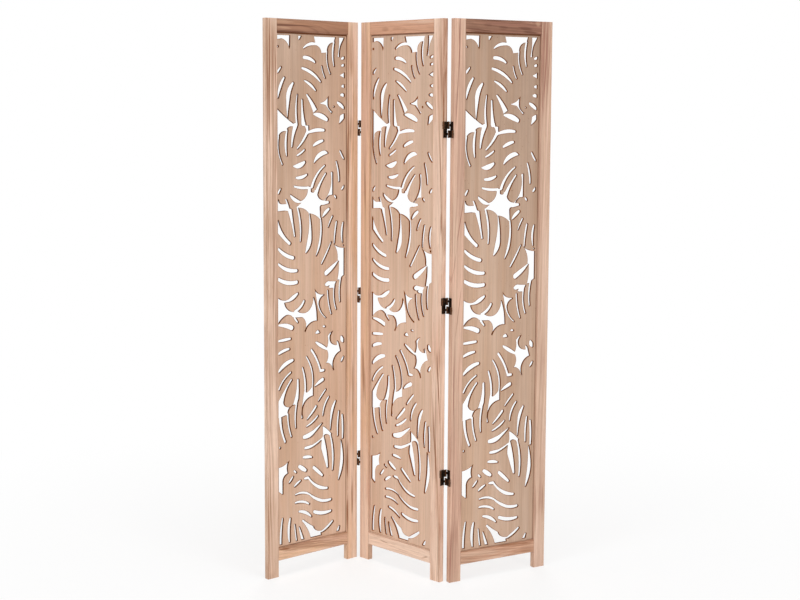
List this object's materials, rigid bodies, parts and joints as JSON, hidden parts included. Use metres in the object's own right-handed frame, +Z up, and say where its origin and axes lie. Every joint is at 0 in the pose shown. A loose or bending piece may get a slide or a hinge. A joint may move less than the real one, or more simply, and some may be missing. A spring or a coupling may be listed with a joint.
{
  "type": "folding screen",
  "caption": "Freestanding folding screen of wooden frames with leaf-pattern pierced sheets, joined by double-action hinges.",
  "frame": {"origin": "on the floor, under the middle of the standing screen's box", "axes": "+X to the right seen from the front, +Y from front to back, +Z up"},
  "size_m": [0.866, 0.2738, 1.7],
  "materials": {
    "frame_wood": "bare sanded wood",
    "rail_wood": "bare sanded wood",
    "sheet_wood": "bare thin board with scorched hole walls",
    "dowel_wood": "plain",
    "hinge_metal": "dark bronze black, satin",
    "pin_steel": "dark bronze black",
    "screw_steel": "dark bronze black"
  },
  "bodies": {
    "middle_panel": {"middle_panel_left_stile": "frame_wood", "middle_panel_right_stile": "frame_wood", "middle_panel_bottom_rail": "rail_wood", "middle_panel_top_rail": "rail_wood", "middle_panel_pierced_sheet": "sheet_wood", "middle_panel_dowels": "dowel_wood", "left_fold_top_hinge_right_leaf": "hinge_metal", "left_fold_middle_hinge_right_leaf": "hinge_metal", "left_fold_bottom_hinge_right_leaf": "hinge_metal", "right_fold_top_hinge_left_leaf": "hinge_metal", "right_fold_middle_hinge_left_leaf": "hinge_metal", "right_fold_bottom_hinge_left_leaf": "hinge_metal", "middle_panel_stub_pins": "pin_steel", "middle_panel_hinge_screws": "screw_steel"},
    "left_upper_links": {"left_fold_top_hinge_upper_link": "hinge_metal", "left_fold_middle_hinge_upper_link": "hinge_metal", "left_fold_bottom_hinge_upper_link": "hinge_metal", "left_upper_link_pins": "pin_steel"},
    "left_panel": {"left_panel_left_stile": "frame_wood", "left_panel_right_stile": "frame_wood", "left_panel_bottom_rail": "rail_wood", "left_panel_top_rail": "rail_wood", "left_panel_pierced_sheet": "sheet_wood", "left_panel_dowels": "dowel_wood", "left_fold_top_hinge_left_leaf": "hinge_metal", "left_fold_middle_hinge_left_leaf": "hinge_metal", "left_fold_bottom_hinge_left_leaf": "hinge_metal", "left_panel_hinge_screws": "screw_steel"},
    "left_lower_links": {"left_fold_top_hinge_lower_link": "hinge_metal", "left_fold_middle_hinge_lower_link": "hinge_metal", "left_fold_bottom_hinge_lower_link": "hinge_metal", "left_lower_link_pins": "pin_steel"},
    "right_upper_links": {"right_fold_top_hinge_upper_link": "hinge_metal", "right_fold_middle_hinge_upper_link": "hinge_metal", "right_fold_bottom_hinge_upper_link": "hinge_metal", "right_upper_link_pins": "pin_steel"},
    "right_panel": {"right_panel_left_stile": "frame_wood", "right_panel_right_stile": "frame_wood", "right_panel_bottom_rail": "rail_wood", "right_panel_top_rail": "rail_wood", "right_panel_pierced_sheet": "sheet_wood", "right_panel_dowels": "dowel_wood", "right_fold_top_hinge_right_leaf": "hinge_metal", "right_fold_middle_hinge_right_leaf": "hinge_metal", "right_fold_bottom_hinge_right_leaf": "hinge_metal", "right_panel_hinge_screws": "screw_steel"},
    "right_lower_links": {"right_fold_top_hinge_lower_link": "hinge_metal", "right_fold_middle_hinge_lower_link": "hinge_metal", "right_fold_bottom_hinge_lower_link": "hinge_metal", "right_lower_link_pins": "pin_steel"}
  },
  "joints": [
    {"name": "left_reverse_fold", "type": "hinge", "parent": "middle_panel", "child": "left_upper_links", "pos_m": [-0.141, 0.13335, 0.85], "axis": [0, 0, 1], "range_deg": [-90, 0]},
    {"name": "left_fold", "type": "hinge", "parent": "left_upper_links", "child": "left_panel", "pos_m": [-0.15689, 0.11673, 0.85], "axis": [0, 0, 1], "range_deg": [-85.7, 94.3]},
    {"name": "left_lower_link_turn", "type": "hinge", "parent": "left_panel", "child": "left_lower_links", "pos_m": [-0.17228, 0.13382, 0.85], "axis": [0, 0, 1], "range_deg": [0, 90]},
    {"name": "right_reverse_fold", "type": "hinge", "parent": "middle_panel", "child": "right_upper_links", "pos_m": [0.10193, -0.13061, 0.85], "axis": [0, 0, 1], "range_deg": [-90, 0]},
    {"name": "right_fold", "type": "hinge", "parent": "right_upper_links", "child": "right_panel", "pos_m": [0.11782, -0.11398, 0.85], "axis": [0, 0, 1], "range_deg": [-74.1, 105.9]},
    {"name": "right_lower_link_turn", "type": "hinge", "parent": "right_panel", "child": "right_lower_links", "pos_m": [0.12946, -0.13382, 0.85], "axis": [0, 0, 1], "range_deg": [0, 90]}
  ],
  "couplings": [
    {"joint": "left_lower_link_turn", "follows": "left_reverse_fold", "ratio": -1},
    {"joint": "right_lower_link_turn", "follows": "right_reverse_fold", "ratio": -1}
  ]
}
